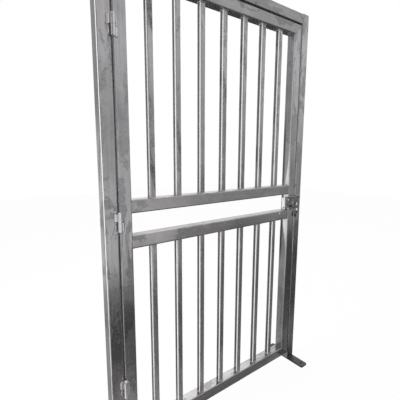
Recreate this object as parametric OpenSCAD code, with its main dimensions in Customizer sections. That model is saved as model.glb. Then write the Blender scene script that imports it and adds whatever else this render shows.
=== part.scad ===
// Side gate for a turnstile: a steel frame of two posts and a head rail on flat feet,
// with one barred leaf hung on three weld-on hinges and a lock at mid height.
// Frame: X along the gate to the right, Y away from the front, Z up.
// The origin is on the underside of the hinge post's foot, under the middle of the post.

/* [Posts and head rail] */
// Side of the square tube of the posts and the head rail
post_size = 60; // [50:1:80]
// Wall of the posts, the head rail and the leaf's frame
tube_wall = 3; // [2:0.5:5]
// Outer corner radius of the posts, the head rail and the leaf's frame
tube_corner = 6; // [4:0.5:8]
// Height of the gate, from the ground to the top of the posts
gate_h = 2304; // [1800:1:2800]
// Thickness of the plate that closes the top of each post
cap_t = 3; // [2:0.5:6]

/* [Feet] */
// Length of each foot, across the gate
foot_len = 300; // [240:1:450]
// Thickness of each foot
foot_t = 10; // [6:1:20]
// Corner radius of the feet
foot_corner = 10; // [4:1:20]
// Distance from the end of a foot to its fixing hole
foot_hole_inset = 28; // [18:1:45]
// Diameter of the fixing holes
foot_hole_d = 14; // [8:1:18]

/* [Leaf] */
// Width of the leaf
leaf_w = 1216; // [1000:1:1600]
// Side of the square tube of the leaf's frame
leaf_size = 60; // [50:1:70]
// Height of the leaf's lower edge above the ground
leaf_lift = 53; // [40:1:150]
// Gap between the hinge post and the leaf
hinge_gap = 6; // [5:0.5:12]
// Gap between the leaf and the latch post
latch_gap = 8; // [7.5:0.5:15]
// Gap between the leaf and the head rail
top_gap = 8; // [5:0.5:20]
// Height of the lower edge of the slot between the middle rails
slot_z = 1097; // [900:1:1250]
// Height of the slot between the middle rails
slot_h = 102; // [90:1:160]

/* [Bars] */
// Number of bars in each panel
bar_count = 7; // [5:1:8]
// Side of the square tube of the bars
bar_size = 32; // [20:1:40]
// Wall of the bars
bar_wall = 3; // [2:0.5:4]
// Outer corner radius of the bars
bar_corner = 8; // [5:0.5:9]

/* [Hinges] */
// Height of the bottom hinge's middle above the leaf's lower edge
hinge_rise = 320; // [200:1:450]
// Distance of the top hinge's middle below the leaf's upper edge
hinge_drop = 275; // [200:1:450]
// Diameter of the hinge barrels
barrel_d = 20; // [16:1:26]
// Length of each hinge barrel
barrel_len = 80; // [70:1:140]
// Diameter of the hinge pins
pin_d = 10; // [8:0.5:12]
// Gap between the hinge barrels and the face of the gate
barrel_gap = 2; // [1:0.5:5]
// Reach of each hinge wing, from the pin's axis along the gate
wing_reach = 21; // [18:1:28]
// Distance of each hinge wing from the barrel's other half
wing_inset = 5; // [3:0.5:12]
// Thickness of each hinge wing
wing_t = 7; // [5:0.5:9]
// Rounding of each hinge wing's free edge
wing_corner = 4; // [2:0.5:4.5]

/* [Lock] */
// Length of the lock's case, along the gate
case_len = 120; // [115:1:130]
// Height of the lock's case
case_h = 82; // [70:1:88]
// Depth of the lock's case, in front of the gate
case_d = 18; // [16:1:26]
// Overhang of the case past the leaf, in front of the latch post
case_overhang = 27; // [20:1:30]
// Height of the case's lower edge above the slot's lower edge
case_rise = 6; // [4:1:14]
// Width of the lock's inner plate, across the gate
side_plate_w = 38; // [30:1:46]
// Height of the lock's inner plate
side_plate_h = 75; // [60:1:88]
// Thickness of the lock's inner plate
side_plate_t = 8; // [4:0.5:12]
// Diameter of the lock's cylinder
lock_cylinder_d = 13; // [10:0.5:14]

/* [Hidden] */

$fn = 48;
cut = 1; // how far a cutting tool runs past what it cuts
end_flat = 0.5; // half the flat left on a rounded end

// along the gate
leaf_x = post_size / 2 + hinge_gap;
leaf_end_x = leaf_x + leaf_w;
latch_post_x = leaf_end_x + latch_gap + post_size / 2;
leaf_mid_x = leaf_x + leaf_w / 2;
bar_pitch = (leaf_w - leaf_size) / (bar_count + 1); // the stiles continue the row of bars
foot_w = post_size; // a foot is as wide as its post

// across the gate: the leaf is flush with the front of the posts
front_y = -post_size / 2;
leaf_mid_y = front_y + leaf_size / 2;

// heights
leaf_top_z = gate_h - post_size - top_gap;
leaf_h = leaf_top_z - leaf_lift;
lower_rail_z = slot_z - leaf_size;
upper_rail_z = slot_z + slot_h;

// hinges
pin_x = post_size / 2 + hinge_gap / 2;
pin_y = front_y - barrel_gap - barrel_d / 2;
hinge_low_z = leaf_lift + hinge_rise;
hinge_high_z = leaf_top_z - hinge_drop;
hinge_mid_z = (hinge_low_z + hinge_high_z) / 2;
pin_clearance = 0.05;
washer_gap = 1;
washer_d = barrel_d - 2;
knuckle_len = (barrel_len - washer_gap) / 2;
wing_setback = 1; // from the end of the barrel
wing_h = knuckle_len - wing_inset - wing_setback;
pin_head_d = barrel_d - 5;
pin_head_t = 3;

// lock: the places on the case are measured from its lower left corner
case_x = leaf_end_x + case_overhang - case_len;
case_z = slot_z + case_rise;
case_face_y = front_y - case_d;
case_corner = 4;
case_standoff = 5; // clear of the latch post's face
screw_d = 9;
screw_t = 1.6;
screw_x = 8;
screw_low_z = 8;
screw_high_z = case_h - 18;
boss_d = 18;
boss_t = 3;
boss_x = 50;
boss_z = 42;
cover_w = 13;
cover_h = 26;
cover_t = 2.5;
cover_x = 88;
cover_z = 14;
recess_len = 36;
recess_h = 15;
recess_t = 4;
recess_x = 12;
recess_z = 14;
side_plate_rise = 1; // above the slot's lower edge
side_plate_corner = 9;
side_hole_d = 6;
side_hole_z = 11; // above the plate's lower edge
lock_cylinder_x = leaf_end_x + case_overhang - 12;
lock_cylinder_y = front_y - case_standoff - lock_cylinder_d / 2;
lock_cylinder_len = 15;
lock_cylinder_z = case_z - lock_cylinder_len;

// keys
key_t = 3;
key_corner = 5;
key_hole_d = 4;
key_hole_z = 4;
key_head_w = 20;
key_head_h = 15;
key_blade_w = 6;
key_blade_t = 2;
key_blade_len = 4;
key_blade_root = 1; // the blade's length inside the head
spare_key_w = 14;
spare_key_h = 24;
spare_key_x = 10; // to the left of the cylinder's axis

module rounded_square(w, h, r) {
    translate([r, 0]) square([w - 2 * r, h]);
    translate([0, r]) square([w, h - 2 * r]);
    for (x = [r, w - r], y = [r, h - r])
        translate([x, y]) circle(r = r);
}

module tube_section(size, wall, corner) {
    difference() {
        translate([-size / 2, -size / 2]) rounded_square(size, size, corner);
        translate([wall - size / 2, wall - size / 2])
            rounded_square(size - 2 * wall, size - 2 * wall, corner - wall);
    }
}

// an upright square tube, standing on z
module upright_tube(size, wall, corner, z, len) {
    translate([0, 0, z])
        linear_extrude(len)
            tube_section(size, wall, corner);
}

// a level square tube along X, from x, with its underside at z
module level_tube(size, wall, corner, x, z, len) {
    translate([x, 0, z + size / 2])
        rotate([90, 0, 90])
            linear_extrude(len)
                tube_section(size, wall, corner);
}

module post() {
    upright_tube(post_size, tube_wall, tube_corner, foot_t, gate_h - cap_t - foot_t);
}

module post_cap() {
    translate([-post_size / 2, -post_size / 2, gate_h - cap_t])
        linear_extrude(cap_t)
            rounded_square(post_size, post_size, tube_corner);
}

module foot() {
    difference() {
        translate([-foot_w / 2, -foot_len / 2, 0])
            linear_extrude(foot_t)
                rounded_square(foot_w, foot_len, foot_corner);
        for (y = [-1, 1])
            translate([0, y * (foot_len / 2 - foot_hole_inset), -cut])
                cylinder(d = foot_hole_d, h = foot_t + 2 * cut);
    }
}

module hinge_post() {
    color("darkgray") post();
}

module latch_post() {
    color("darkgray") translate([latch_post_x, 0, 0]) post();
}

module head_rail() {
    color("darkgray")
        level_tube(post_size, tube_wall, tube_corner, post_size / 2, gate_h - post_size,
            latch_post_x - post_size);
}

module hinge_post_cap() {
    color("darkgray") post_cap();
}

module latch_post_cap() {
    color("darkgray") translate([latch_post_x, 0, 0]) post_cap();
}

module hinge_post_foot() {
    color("gray") foot();
}

module latch_post_foot() {
    color("gray") translate([latch_post_x, 0, 0]) foot();
}

// the part of the leaf's plane that belongs to a stile, with 45 degree ends
module stile_area() {
    translate([0, leaf_mid_y + leaf_size / 2 + cut, 0])
        rotate([90, 0, 0])
            linear_extrude(leaf_size + 2 * cut)
                polygon([
                    [leaf_x, leaf_lift],
                    [leaf_x, leaf_top_z],
                    [leaf_x + leaf_size, leaf_top_z - leaf_size],
                    [leaf_x + leaf_size, leaf_lift + leaf_size]
                ]);
}

// the part of the leaf's plane that belongs to its bottom rail, with 45 degree ends
module bottom_rail_area() {
    translate([0, leaf_mid_y + leaf_size / 2 + cut, 0])
        rotate([90, 0, 0])
            linear_extrude(leaf_size + 2 * cut)
                polygon([
                    [leaf_x, leaf_lift],
                    [leaf_end_x, leaf_lift],
                    [leaf_end_x - leaf_size, leaf_lift + leaf_size],
                    [leaf_x + leaf_size, leaf_lift + leaf_size]
                ]);
}

module stile() {
    intersection() {
        translate([leaf_x + leaf_size / 2, leaf_mid_y, 0])
            upright_tube(leaf_size, tube_wall, tube_corner, leaf_lift, leaf_h);
        stile_area();
    }
}

module mitred_rail() {
    intersection() {
        translate([0, leaf_mid_y, 0])
            level_tube(leaf_size, tube_wall, tube_corner, leaf_x, leaf_lift, leaf_w);
        bottom_rail_area();
    }
}

module middle_rail(z) {
    translate([0, leaf_mid_y, 0])
        level_tube(leaf_size, tube_wall, tube_corner, leaf_x + leaf_size, z, leaf_w - 2 * leaf_size);
}

module hinge_stile() {
    color("silver") stile();
}

module latch_stile() {
    color("silver")
        translate([2 * leaf_mid_x, 0, 0])
            mirror([1, 0, 0])
                stile();
}

module leaf_bottom_rail() {
    color("silver") mitred_rail();
}

module leaf_top_rail() {
    color("silver")
        translate([0, 0, leaf_lift + leaf_top_z])
            mirror([0, 0, 1])
                mitred_rail();
}

module lower_middle_rail() {
    color("silver") middle_rail(lower_rail_z);
}

module upper_middle_rail() {
    color("silver") middle_rail(upper_rail_z);
}

function bar_x(i) = leaf_mid_x + (i - (bar_count + 1) / 2) * bar_pitch;

module bar(i, z, len) {
    translate([bar_x(i), leaf_mid_y, 0])
        upright_tube(bar_size, bar_wall, bar_corner, z, len);
}

module lower_bar(i) {
    color("lightgray") bar(i, leaf_lift + leaf_size, lower_rail_z - leaf_lift - leaf_size);
}

module upper_bar(i) {
    color("lightgray")
        bar(i, upper_rail_z + leaf_size, leaf_top_z - upper_rail_z - 2 * leaf_size);
}

// a wing from the pin's axis to the face of the gate, on one side, rounded off at its free edge
module wing(side, z) {
    translate([0, barrel_d / 2 + barrel_gap, z])
        mirror([side > 0 ? 0 : 1, 0, 0])
            linear_extrude(wing_h) {
                translate([0, -wing_t]) square([wing_reach - wing_corner, wing_t]);
                translate([0, wing_corner - wing_t])
                    square([wing_reach, wing_t - wing_corner]);
                intersection() {
                    translate([wing_reach - wing_corner, wing_corner - wing_t])
                        circle(r = wing_corner);
                    translate([0, -wing_t]) square([wing_reach, wing_t]);
                }
            }
}

// the upper knuckle, which turns on the pin, with its wing on the post
module hinge_post_half(z) {
    translate([pin_x, pin_y, z])
        difference() {
            union() {
                translate([0, 0, washer_gap / 2]) cylinder(d = barrel_d, h = knuckle_len);
                wing(-1, barrel_len / 2 - wing_setback - wing_h);
            }
            translate([0, 0, -cut])
                cylinder(d = pin_d + 2 * pin_clearance, h = barrel_len);
        }
}

// the lower knuckle, with its wing on the leaf
module hinge_leaf_half(z) {
    translate([pin_x, pin_y, z])
        difference() {
            union() {
                translate([0, 0, -barrel_len / 2]) cylinder(d = barrel_d, h = knuckle_len);
                wing(1, wing_setback - barrel_len / 2);
            }
            translate([0, 0, -barrel_len])
                cylinder(d = pin_d, h = 2 * barrel_len);
        }
}

// the pin, fast in the lower knuckle, with a washer between the knuckles
module hinge_pin(z) {
    translate([pin_x, pin_y, z]) {
        translate([0, 0, -barrel_len / 2]) cylinder(d = pin_d, h = barrel_len);
        translate([0, 0, -washer_gap / 2]) cylinder(d = washer_d, h = washer_gap);
        translate([0, 0, barrel_len / 2]) cylinder(d = pin_head_d, h = pin_head_t);
    }
}

module bottom_hinge_post_half() {
    color("gray") hinge_post_half(hinge_low_z);
}

module middle_hinge_post_half() {
    color("gray") hinge_post_half(hinge_mid_z);
}

module top_hinge_post_half() {
    color("gray") hinge_post_half(hinge_high_z);
}

module bottom_hinge_leaf_half() {
    color("gray") hinge_leaf_half(hinge_low_z);
}

module middle_hinge_leaf_half() {
    color("gray") hinge_leaf_half(hinge_mid_z);
}

module top_hinge_leaf_half() {
    color("gray") hinge_leaf_half(hinge_high_z);
}

module bottom_hinge_pin() {
    color("lightgray") hinge_pin(hinge_low_z);
}

module middle_hinge_pin() {
    color("lightgray") hinge_pin(hinge_mid_z);
}

module top_hinge_pin() {
    color("lightgray") hinge_pin(hinge_high_z);
}

// a plate facing the front: its outline in X and Z, from y forwards by t
module front_plate(x, z, w, h, r, y, t) {
    translate([x, y, z])
        rotate([90, 0, 0])
            linear_extrude(t)
                rounded_square(w, h, r);
}

// a round head facing the front
module front_disc(x, z, d, y, t) {
    translate([x, y, z])
        rotate([90, 0, 0])
            cylinder(d = d, h = t);
}

// the case: the end beyond the leaf stands clear of the latch post, and a finger recess is cut in its face
module lock_case() {
    color("dimgray") {
        difference() {
            front_plate(case_x, case_z, case_len, case_h, case_corner, front_y, case_d);
            translate([leaf_end_x, front_y - case_standoff, case_z - cut])
                cube([case_overhang + cut, case_standoff + cut, case_h + 2 * cut]);
            front_plate(case_x + recess_x, case_z + recess_z, recess_len, recess_h,
                recess_h / 2 - end_flat, case_face_y + recess_t, recess_t + cut);
        }
        for (z = [screw_low_z, screw_high_z])
            front_disc(case_x + screw_x, case_z + z, screw_d, case_face_y, screw_t);
        front_disc(case_x + boss_x, case_z + boss_z, boss_d, case_face_y, boss_t);
        front_plate(case_x + cover_x, case_z + cover_z, cover_w, cover_h,
            cover_w / 2 - end_flat, case_face_y, cover_t);
    }
}

module lock_inner_plate() {
    color("white")
        translate([
            leaf_end_x - leaf_size - side_plate_t,
            leaf_mid_y - side_plate_w / 2,
            slot_z + side_plate_rise
        ])
            difference() {
                rotate([90, 0, 90])
                    linear_extrude(side_plate_t)
                        rounded_square(side_plate_w, side_plate_h, side_plate_corner);
                translate([-cut, side_plate_w / 2, side_hole_z])
                    rotate([0, 90, 0])
                        cylinder(d = side_hole_d, h = side_plate_t / 2 + cut);
            }
}

module lock_cylinder() {
    color("silver")
        translate([lock_cylinder_x, lock_cylinder_y, lock_cylinder_z])
            cylinder(d = lock_cylinder_d, h = lock_cylinder_len);
}

// a key's flat head, with its upper edge at z
module key_head(w, h, z) {
    translate([0, key_t / 2, z - h])
        rotate([90, 0, 0])
            linear_extrude(key_t)
                difference() {
                    translate([-w / 2, 0]) rounded_square(w, h, key_corner);
                    translate([0, key_hole_z]) circle(d = key_hole_d);
                }
}

// the key in the cylinder: its head and the stub of its blade
module lock_key() {
    color("black")
        translate([lock_cylinder_x, lock_cylinder_y, lock_cylinder_z - key_blade_len])
            union() {
                key_head(key_head_w, key_head_h, 0);
                translate([-key_blade_w / 2, -key_blade_t / 2, -key_blade_root])
                    cube([key_blade_w, key_blade_t, key_blade_len + key_blade_root]);
            }
}

module spare_key() {
    color("black")
        translate([lock_cylinder_x - spare_key_x, lock_cylinder_y, lock_cylinder_z - key_blade_len])
            key_head(spare_key_w, spare_key_h, -key_head_h);
}

hinge_post();
latch_post();
head_rail();
hinge_post_cap();
latch_post_cap();
hinge_post_foot();
latch_post_foot();
hinge_stile();
latch_stile();
leaf_top_rail();
leaf_bottom_rail();
lower_middle_rail();
upper_middle_rail();
for (i = [1:bar_count]) {
    lower_bar(i);
    upper_bar(i);
}
bottom_hinge_post_half();
middle_hinge_post_half();
top_hinge_post_half();
bottom_hinge_leaf_half();
middle_hinge_leaf_half();
top_hinge_leaf_half();
bottom_hinge_pin();
middle_hinge_pin();
top_hinge_pin();
lock_case();
lock_inner_plate();
lock_cylinder();
lock_key();
spare_key();
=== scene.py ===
import math
import random

import bmesh
import bpy
from mathutils import Matrix, Vector


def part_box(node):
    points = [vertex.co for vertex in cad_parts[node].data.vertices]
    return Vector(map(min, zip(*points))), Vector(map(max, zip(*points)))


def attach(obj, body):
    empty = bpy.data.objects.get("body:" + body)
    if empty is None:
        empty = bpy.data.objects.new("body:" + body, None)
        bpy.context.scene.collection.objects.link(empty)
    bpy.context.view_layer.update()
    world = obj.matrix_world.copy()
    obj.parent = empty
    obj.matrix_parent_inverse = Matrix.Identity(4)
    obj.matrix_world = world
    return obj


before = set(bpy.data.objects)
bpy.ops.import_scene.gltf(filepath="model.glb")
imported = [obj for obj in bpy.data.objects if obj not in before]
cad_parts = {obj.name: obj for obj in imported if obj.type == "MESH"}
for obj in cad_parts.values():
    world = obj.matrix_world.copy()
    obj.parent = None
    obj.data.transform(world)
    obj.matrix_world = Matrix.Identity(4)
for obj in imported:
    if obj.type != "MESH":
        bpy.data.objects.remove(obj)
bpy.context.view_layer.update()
print("frame loaded:", len(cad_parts), "CAD nodes")


# the camera stands in front of the gate, to its left, at chest height
shot = {
    "place": (-0.4955, -1.3029, 1.4681),
    "turn": 37.204,    # degrees to the right of straight ahead
    "dip": 8.599,      # degrees below level
    "tilt": 0.102,
    "lens": 28.466,
    "sensor": 36,
    "near": 0.05,
    "far": 60,
}


def makeCamera():
    turn, dip, tilt = (math.radians(shot[k]) for k in ("turn", "dip", "tilt"))
    ahead = Vector((math.sin(turn) * math.cos(dip), math.cos(turn) * math.cos(dip), -math.sin(dip)))
    right = Vector((math.cos(turn), -math.sin(turn), 0))
    up = right.cross(ahead)
    right, up = (math.cos(tilt) * right + math.sin(tilt) * up,
                 math.cos(tilt) * up - math.sin(tilt) * right)
    data = bpy.data.cameras.new("gateCamera")
    data.lens = shot["lens"]
    data.sensor_width = shot["sensor"]
    data.clip_start = shot["near"]
    data.clip_end = shot["far"]
    cam = bpy.data.objects.new("gateCamera", data)
    bpy.context.scene.collection.objects.link(cam)
    rows = Matrix((right, up, -ahead)).transposed()
    cam.matrix_world = Matrix.Translation(shot["place"]) @ rows.to_4x4()
    bpy.context.scene.camera = cam


makeCamera()
print("camera ready")

bpy.context.scene.view_settings.view_transform = "Standard"


# a small helper for shader nodes: add one, set its values and link what feeds it
class Shade:
    def __init__(self, material):
        material.use_nodes = True
        self.tree = material.node_tree
        self.tree.nodes.clear()

    def add(self, kind, values=None, **settings):
        node = self.tree.nodes.new("ShaderNode" + kind)
        for key, value in settings.items():
            setattr(node, key, value)
        for key, value in (values or {}).items():
            socket = node.inputs[key]
            if isinstance(value, bpy.types.NodeSocket):
                self.tree.links.new(value, socket)
            else:
                socket.default_value = value
        return node


def maths(s, kind, *values):
    return s.add("Math", dict(enumerate(values)), operation=kind).outputs[0]


def times(s, first, *others):
    for other in others:
        first = maths(s, "MULTIPLY", first, other)
    return first


def plus(s, a, b):
    return maths(s, "ADD", a, b)


def larger(s, a, b):
    return maths(s, "MAXIMUM", a, b)


def oneLess(s, value):
    return maths(s, "SUBTRACT", 1.0, value)


def slope(s, value, start, end, atStart, atEnd, kind="LINEAR"):
    # an even change from atStart to atEnd as value goes from start to end
    return s.add("MapRange", {"Value": value, "From Min": start, "From Max": end,
                              "To Min": atStart, "To Max": atEnd}, interpolation_type=kind).outputs[0]


def ramp(s, value, start, end, atStart, atEnd):
    # the same with soft ends
    return slope(s, value, start, end, atStart, atEnd, "SMOOTHSTEP")


def seenDirectly(s):
    # 1 for what the camera, a gloss or a clear surface sees, 0 for the light on matt surfaces
    path = s.add("LightPath").outputs
    either = larger(s, path["Is Camera Ray"], path["Is Glossy Ray"])
    return larger(s, either, path["Is Transmission Ray"])


studio = {
    "worldLight": 0.55,     # light from all round on matt surfaces
    "white": (1, 1, 1, 1),
    "floorColour": (0.9, 0.9, 0.9, 1),
    "floorMiddle": 0.64,    # along the gate, from the hinge post
    "floorLevel": -0.0005,
    "floorSize": 20,
    "floorGlow": 0.93,      # share of plain white in the floor as the camera sees it
    "floorWhite": 1.02,
}


def makeWorld():
    world = bpy.data.worlds.new("paleRoom")
    bpy.context.scene.world = world
    s = Shade(world)
    strength = slope(s, seenDirectly(s), 0, 1, studio["worldLight"], 1.0)
    back = s.add("Background", {"Color": studio["white"], "Strength": strength})
    s.add("OutputWorld", {"Surface": back.outputs[0]})


def flatSheet(name, low, high, z):
    mesh = bpy.data.meshes.new(name)
    corners = [(low[0], low[1], 0), (high[0], low[1], 0), (high[0], high[1], 0), (low[0], high[1], 0)]
    mesh.from_pydata(corners, [], [(0, 1, 2, 3)])
    sheet = bpy.data.objects.new(name, mesh)
    bpy.context.scene.collection.objects.link(sheet)
    sheet.location.z = z
    return sheet


def makeFloor():
    half = studio["floorSize"] / 2
    middle = studio["floorMiddle"]
    floor = flatSheet("floor", (middle - half, -half), (middle + half, half), studio["floorLevel"])
    mat = bpy.data.materials.new("paleFloor")
    s = Shade(mat)
    matt = s.add("BsdfDiffuse", {"Color": studio["floorColour"]})
    white = s.add("Emission", {"Color": studio["white"], "Strength": studio["floorWhite"]})
    share = times(s, seenDirectly(s), studio["floorGlow"])
    both = s.add("MixShader", {0: share, 1: matt.outputs[0], 2: white.outputs[0]})
    s.add("OutputMaterial", {"Surface": both.outputs[0]})
    mat.cycles.emission_sampling = "NONE"
    floor.data.materials.append(mat)


# Dark, grey and lit cards on the floor and round the room are seen only in reflections, as a studio
# sets them for bare metal. Each has its grey, and fades along its own x and y in metres: from, to,
# and how much of the card is there at each of the two.
glowCard = {    # the lit strip: what a bar's front left corner mirrors, and not its flat left face
    "corners": ((-2.4, -0.5), (1.12, 1.3)),
    "lift": 0.0012,
    "grey": 1.25,
    "backEdge": (0.1, -0.4, 0.13, 0.24),    # where along y it ends, at two places along x
    "backMore": (-0.4, -1.6, 0, 0.6),
    "backSoft": 1.3,
    "frontEdge": (-0.05, -0.25, -0.03, -0.36),
    "frontSoft": 0.03,
}


def glowCover(s, x, y):
    back = plus(s, slope(s, x, *glowCard["backEdge"]), slope(s, x, *glowCard["backMore"]))
    behind = slope(s, y, back, times(s, back, glowCard["backSoft"]), 1, 0)
    front = slope(s, x, *glowCard["frontEdge"])
    return times(s, behind, slope(s, y, front, plus(s, front, glowCard["frontSoft"]), 0, 1))


frontCard = {
    "corners": ((-1.1, -5), (9, -0.02)),
    "lift": 0.0004,
    "grey": 0.06,
    "farEdge": (0.8, 3.4, -2.7, -4.2),    # where along y it ends, at two places along x
    "farSoft": 1.35,
    "nearEdge": (-0.55, -0.25, 1, 0.80),
    "liftedY": (-0.74, -0.50, 0, 0.30),    # part of it is taken off beside the hinge post
    "liftedX": (0.3, 0.55, 1, 0),
    "leftEdge": (-0.95, -0.5, 0, 1),
}


def frontCover(s, x, y):
    edge = slope(s, x, *frontCard["farEdge"])
    far = ramp(s, y, edge, plus(s, edge, frontCard["farSoft"]), 0, 1)
    near = ramp(s, y, *frontCard["nearEdge"])
    lifted = times(s, ramp(s, y, *frontCard["liftedY"]), ramp(s, x, *frontCard["liftedX"]))
    return times(s, far, near, oneLess(s, lifted), ramp(s, x, *frontCard["leftEdge"]))


backCard = {
    "corners": ((-9, 0.05), (9, 9)),
    "lift": 0.0004,
    "grey": 0.42,
    "nearEdge": (0.05, 0.3, 0.6, 1),
    "slant": 0.447,    # a slanting strip stays clear where the hinge post's side mirrors it
    "stripY": (1.5, 2.4, 0, 1),
    "stripLeft": (0.0, 0.2, 0, 1),
    "stripRight": (-0.1, 0.3, 1, 0),
    "clearY": (2.0, 2.6, 0, 0.85),    # and so does the far left
    "clearX": (-2.25, -1.75, 1, 0),
}


def backCover(s, x, y):
    slant = plus(s, times(s, y, backCard["slant"]), x)
    strip = times(s, ramp(s, y, *backCard["stripY"]), ramp(s, slant, *backCard["stripLeft"]),
                  ramp(s, x, *backCard["stripRight"]))
    clear = times(s, ramp(s, y, *backCard["clearY"]), ramp(s, x, *backCard["clearX"]))
    return times(s, ramp(s, y, *backCard["nearEdge"]), oneLess(s, larger(s, strip, clear)))


farCard = {
    "corners": ((0, 1), (9, 9)),
    "lift": 0.0008,
    "grey": 0.04,
    "nearEdge": (1.4, 2.6, 0, 1),
    "leftEdge": (0.2, 1.2, 0, 1),
}


def farCover(s, x, y):
    return times(s, ramp(s, y, *farCard["nearEdge"]), ramp(s, x, *farCard["leftEdge"]))


# standing cards: x runs along the lower edge and y is the height
rightCard = {
    "foot": ((2.93, -4.11), (4.87, -2.09)),
    "height": 2.2,
    "grey": 0.46,
    "top": (1.45, 2.0, 1, 0),
    "start": (0.15, 0.65, 0, 1),
}


def rightCover(s, x, y):
    return times(s, ramp(s, y, *rightCard["top"]), ramp(s, x, *rightCard["start"]))


leftCard = {
    "foot": ((-5.6, 4.2), (-0.6, 4.2)),
    "height": 6,
    "grey": 0.40,
    "palerY": (1.2, 1.8, 0.8, 0.35),    # low down, which the latch side of the leaf mirrors
    "palerX": (1.5, 2.6, 1, 0),
    "lowEnd": (3.5, 3.8, 1, 0),
    "highEnd": (4.6, 5.0, 1, 0),
    "highFrom": (1.3, 2.1, 0, 1),
}


def leftCover(s, x, y):
    paler = times(s, ramp(s, y, *leftCard["palerY"]), ramp(s, x, *leftCard["palerX"]))
    low = times(s, ramp(s, x, *leftCard["lowEnd"]), oneLess(s, paler))
    high = times(s, ramp(s, x, *leftCard["highEnd"]), ramp(s, y, *leftCard["highFrom"]))
    return larger(s, low, high)


cornerCard = {
    "foot": ((-3.5, -0.62), (-1.3, -4.2)),
    "height": 5,
    "grey": 0.30,
    "start": (0, 0.35, 0, 1),
    "low": (0.9, 2.1, 0.2, 1),
}


def cornerCover(s, x, y):
    return times(s, ramp(s, x, *cornerCard["start"]), ramp(s, y, *cornerCard["low"]))


wallCard = {
    "foot": ((0.6, -3.7), (5.0, -3.7)),
    "height": 3.2,
    "grey": 0.58,
    "top": (2.1, 3.0, 1, 0),
    "low": (0, 0.3, 0, 1),
    "start": (0, 0.5, 0, 1),
    "palerY": (0.9, 1.3, 0.8, 0),
    "palerX": (1.0, 2.0, 1, 0),
    "bandFrom": (0.75, 1.0, 0, 0.42),    # a paler band at the height of the lock
    "bandTo": (1.45, 1.9, 1, 0),
}


def wallCover(s, x, y):
    whole = times(s, ramp(s, y, *wallCard["top"]), ramp(s, y, *wallCard["low"]),
                  ramp(s, x, *wallCard["start"]))
    paler = times(s, ramp(s, y, *wallCard["palerY"]), ramp(s, x, *wallCard["palerX"]))
    band = times(s, ramp(s, y, *wallCard["bandFrom"]), ramp(s, y, *wallCard["bandTo"]))
    return times(s, whole, oneLess(s, larger(s, paler, band)))


def dressCard(sheet, grey, cover):
    # a card is part clear, part its own grey, as its cover says
    mat = bpy.data.materials.new(sheet.name)
    s = Shade(mat)
    where = s.add("SeparateXYZ", {0: s.add("TexCoord").outputs["Object"]}).outputs
    glow = s.add("Emission", {"Color": studio["white"], "Strength": grey})
    clear = s.add("BsdfTransparent")
    share = cover(s, where[0], where[1])
    both = s.add("MixShader", {0: share, 1: clear.outputs[0], 2: glow.outputs[0]})
    s.add("OutputMaterial", {"Surface": both.outputs[0]})
    mat.cycles.emission_sampling = "NONE"
    sheet.data.materials.append(mat)
    sheet.visible_camera = False
    sheet.visible_diffuse = False
    sheet.visible_shadow = False
    sheet.visible_transmission = False


def makeCards():
    for name, card, cover in (("glowCard", glowCard, glowCover), ("frontCard", frontCard, frontCover),
                              ("backCard", backCard, backCover), ("farCard", farCard, farCover)):
        dressCard(flatSheet(name, *card["corners"], card["lift"]), card["grey"], cover)
    up = Vector((0, 0, 1))
    for name, card, cover in (("rightCard", rightCard, rightCover), ("leftCard", leftCard, leftCover),
                              ("cornerCard", cornerCard, cornerCover),
                              ("wallCard", wallCard, wallCover)):
        start, end = card["foot"]
        along = Vector((end[0] - start[0], end[1] - start[1], 0))
        sheet = flatSheet(name, (0, 0), (along.length, card["height"]), 0)
        dressCard(sheet, card["grey"], cover)
        along.normalize()
        rows = Matrix((along, up, along.cross(up)))
        sheet.matrix_world = Matrix.Translation((*start, 0)) @ rows.transposed().to_4x4()


lamps = {
    "sideLamp": {    # the big soft box at the hinge side
        "place": (-2.175, 0.675, 1.75),
        "aim": (-0.358, -0.16, 1.75),
        "size": (2.04, 3.2),
        "power": 98,
        "mirrored": False,    # its own mirror image would burn out the flat faces
    },
    "topLamp": {
        "place": (2.3, 2.4, 3.3),
        "aim": (0.6, 0, 0.1),
        "size": (2.8, 2.0),
        "power": 20,
        "mirrored": True,
    },
}


def makeLamps():
    for name, lamp in lamps.items():
        data = bpy.data.lights.new(name, "AREA")
        data.shape = "RECTANGLE"
        data.size, data.size_y = lamp["size"]
        data.energy = lamp["power"]
        made = bpy.data.objects.new(name, data)
        bpy.context.scene.collection.objects.link(made)
        made.location = lamp["place"]
        towards = Vector(lamp["aim"]) - Vector(lamp["place"])
        made.rotation_euler = towards.to_track_quat("-Z", "Y").to_euler()
        made.visible_camera = False
        made.visible_glossy = lamp["mirrored"]


makeWorld()
makeFloor()
makeCards()
makeLamps()
print("studio ready")


def mix(s, amount, a, b, kind="MIX"):
    return s.add("Mix", {0: amount, 6: a, 7: b}, data_type="RGBA", blend_type=kind).outputs[2]


def tint(colour):
    return (*colour, 1)


def noise(s, place, scale, detail=2, rough=0.5, bend=0.0):
    return s.add("TexNoise", {"Vector": place, "Scale": scale, "Detail": detail,
                              "Roughness": rough, "Distortion": bend}).outputs[0]


def cellNumber(s, cells, channel=0):
    # a random number for each cell, from 0 to 1
    return s.add("SeparateColor", {0: cells["Color"]}).outputs[channel]


def turned(s, axis):
    # how far the surface faces along an axis, either way
    normal = s.add("SeparateXYZ", {0: s.add("TexCoord").outputs["Normal"]}).outputs
    return maths(s, "ABSOLUTE", normal[axis])


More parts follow.
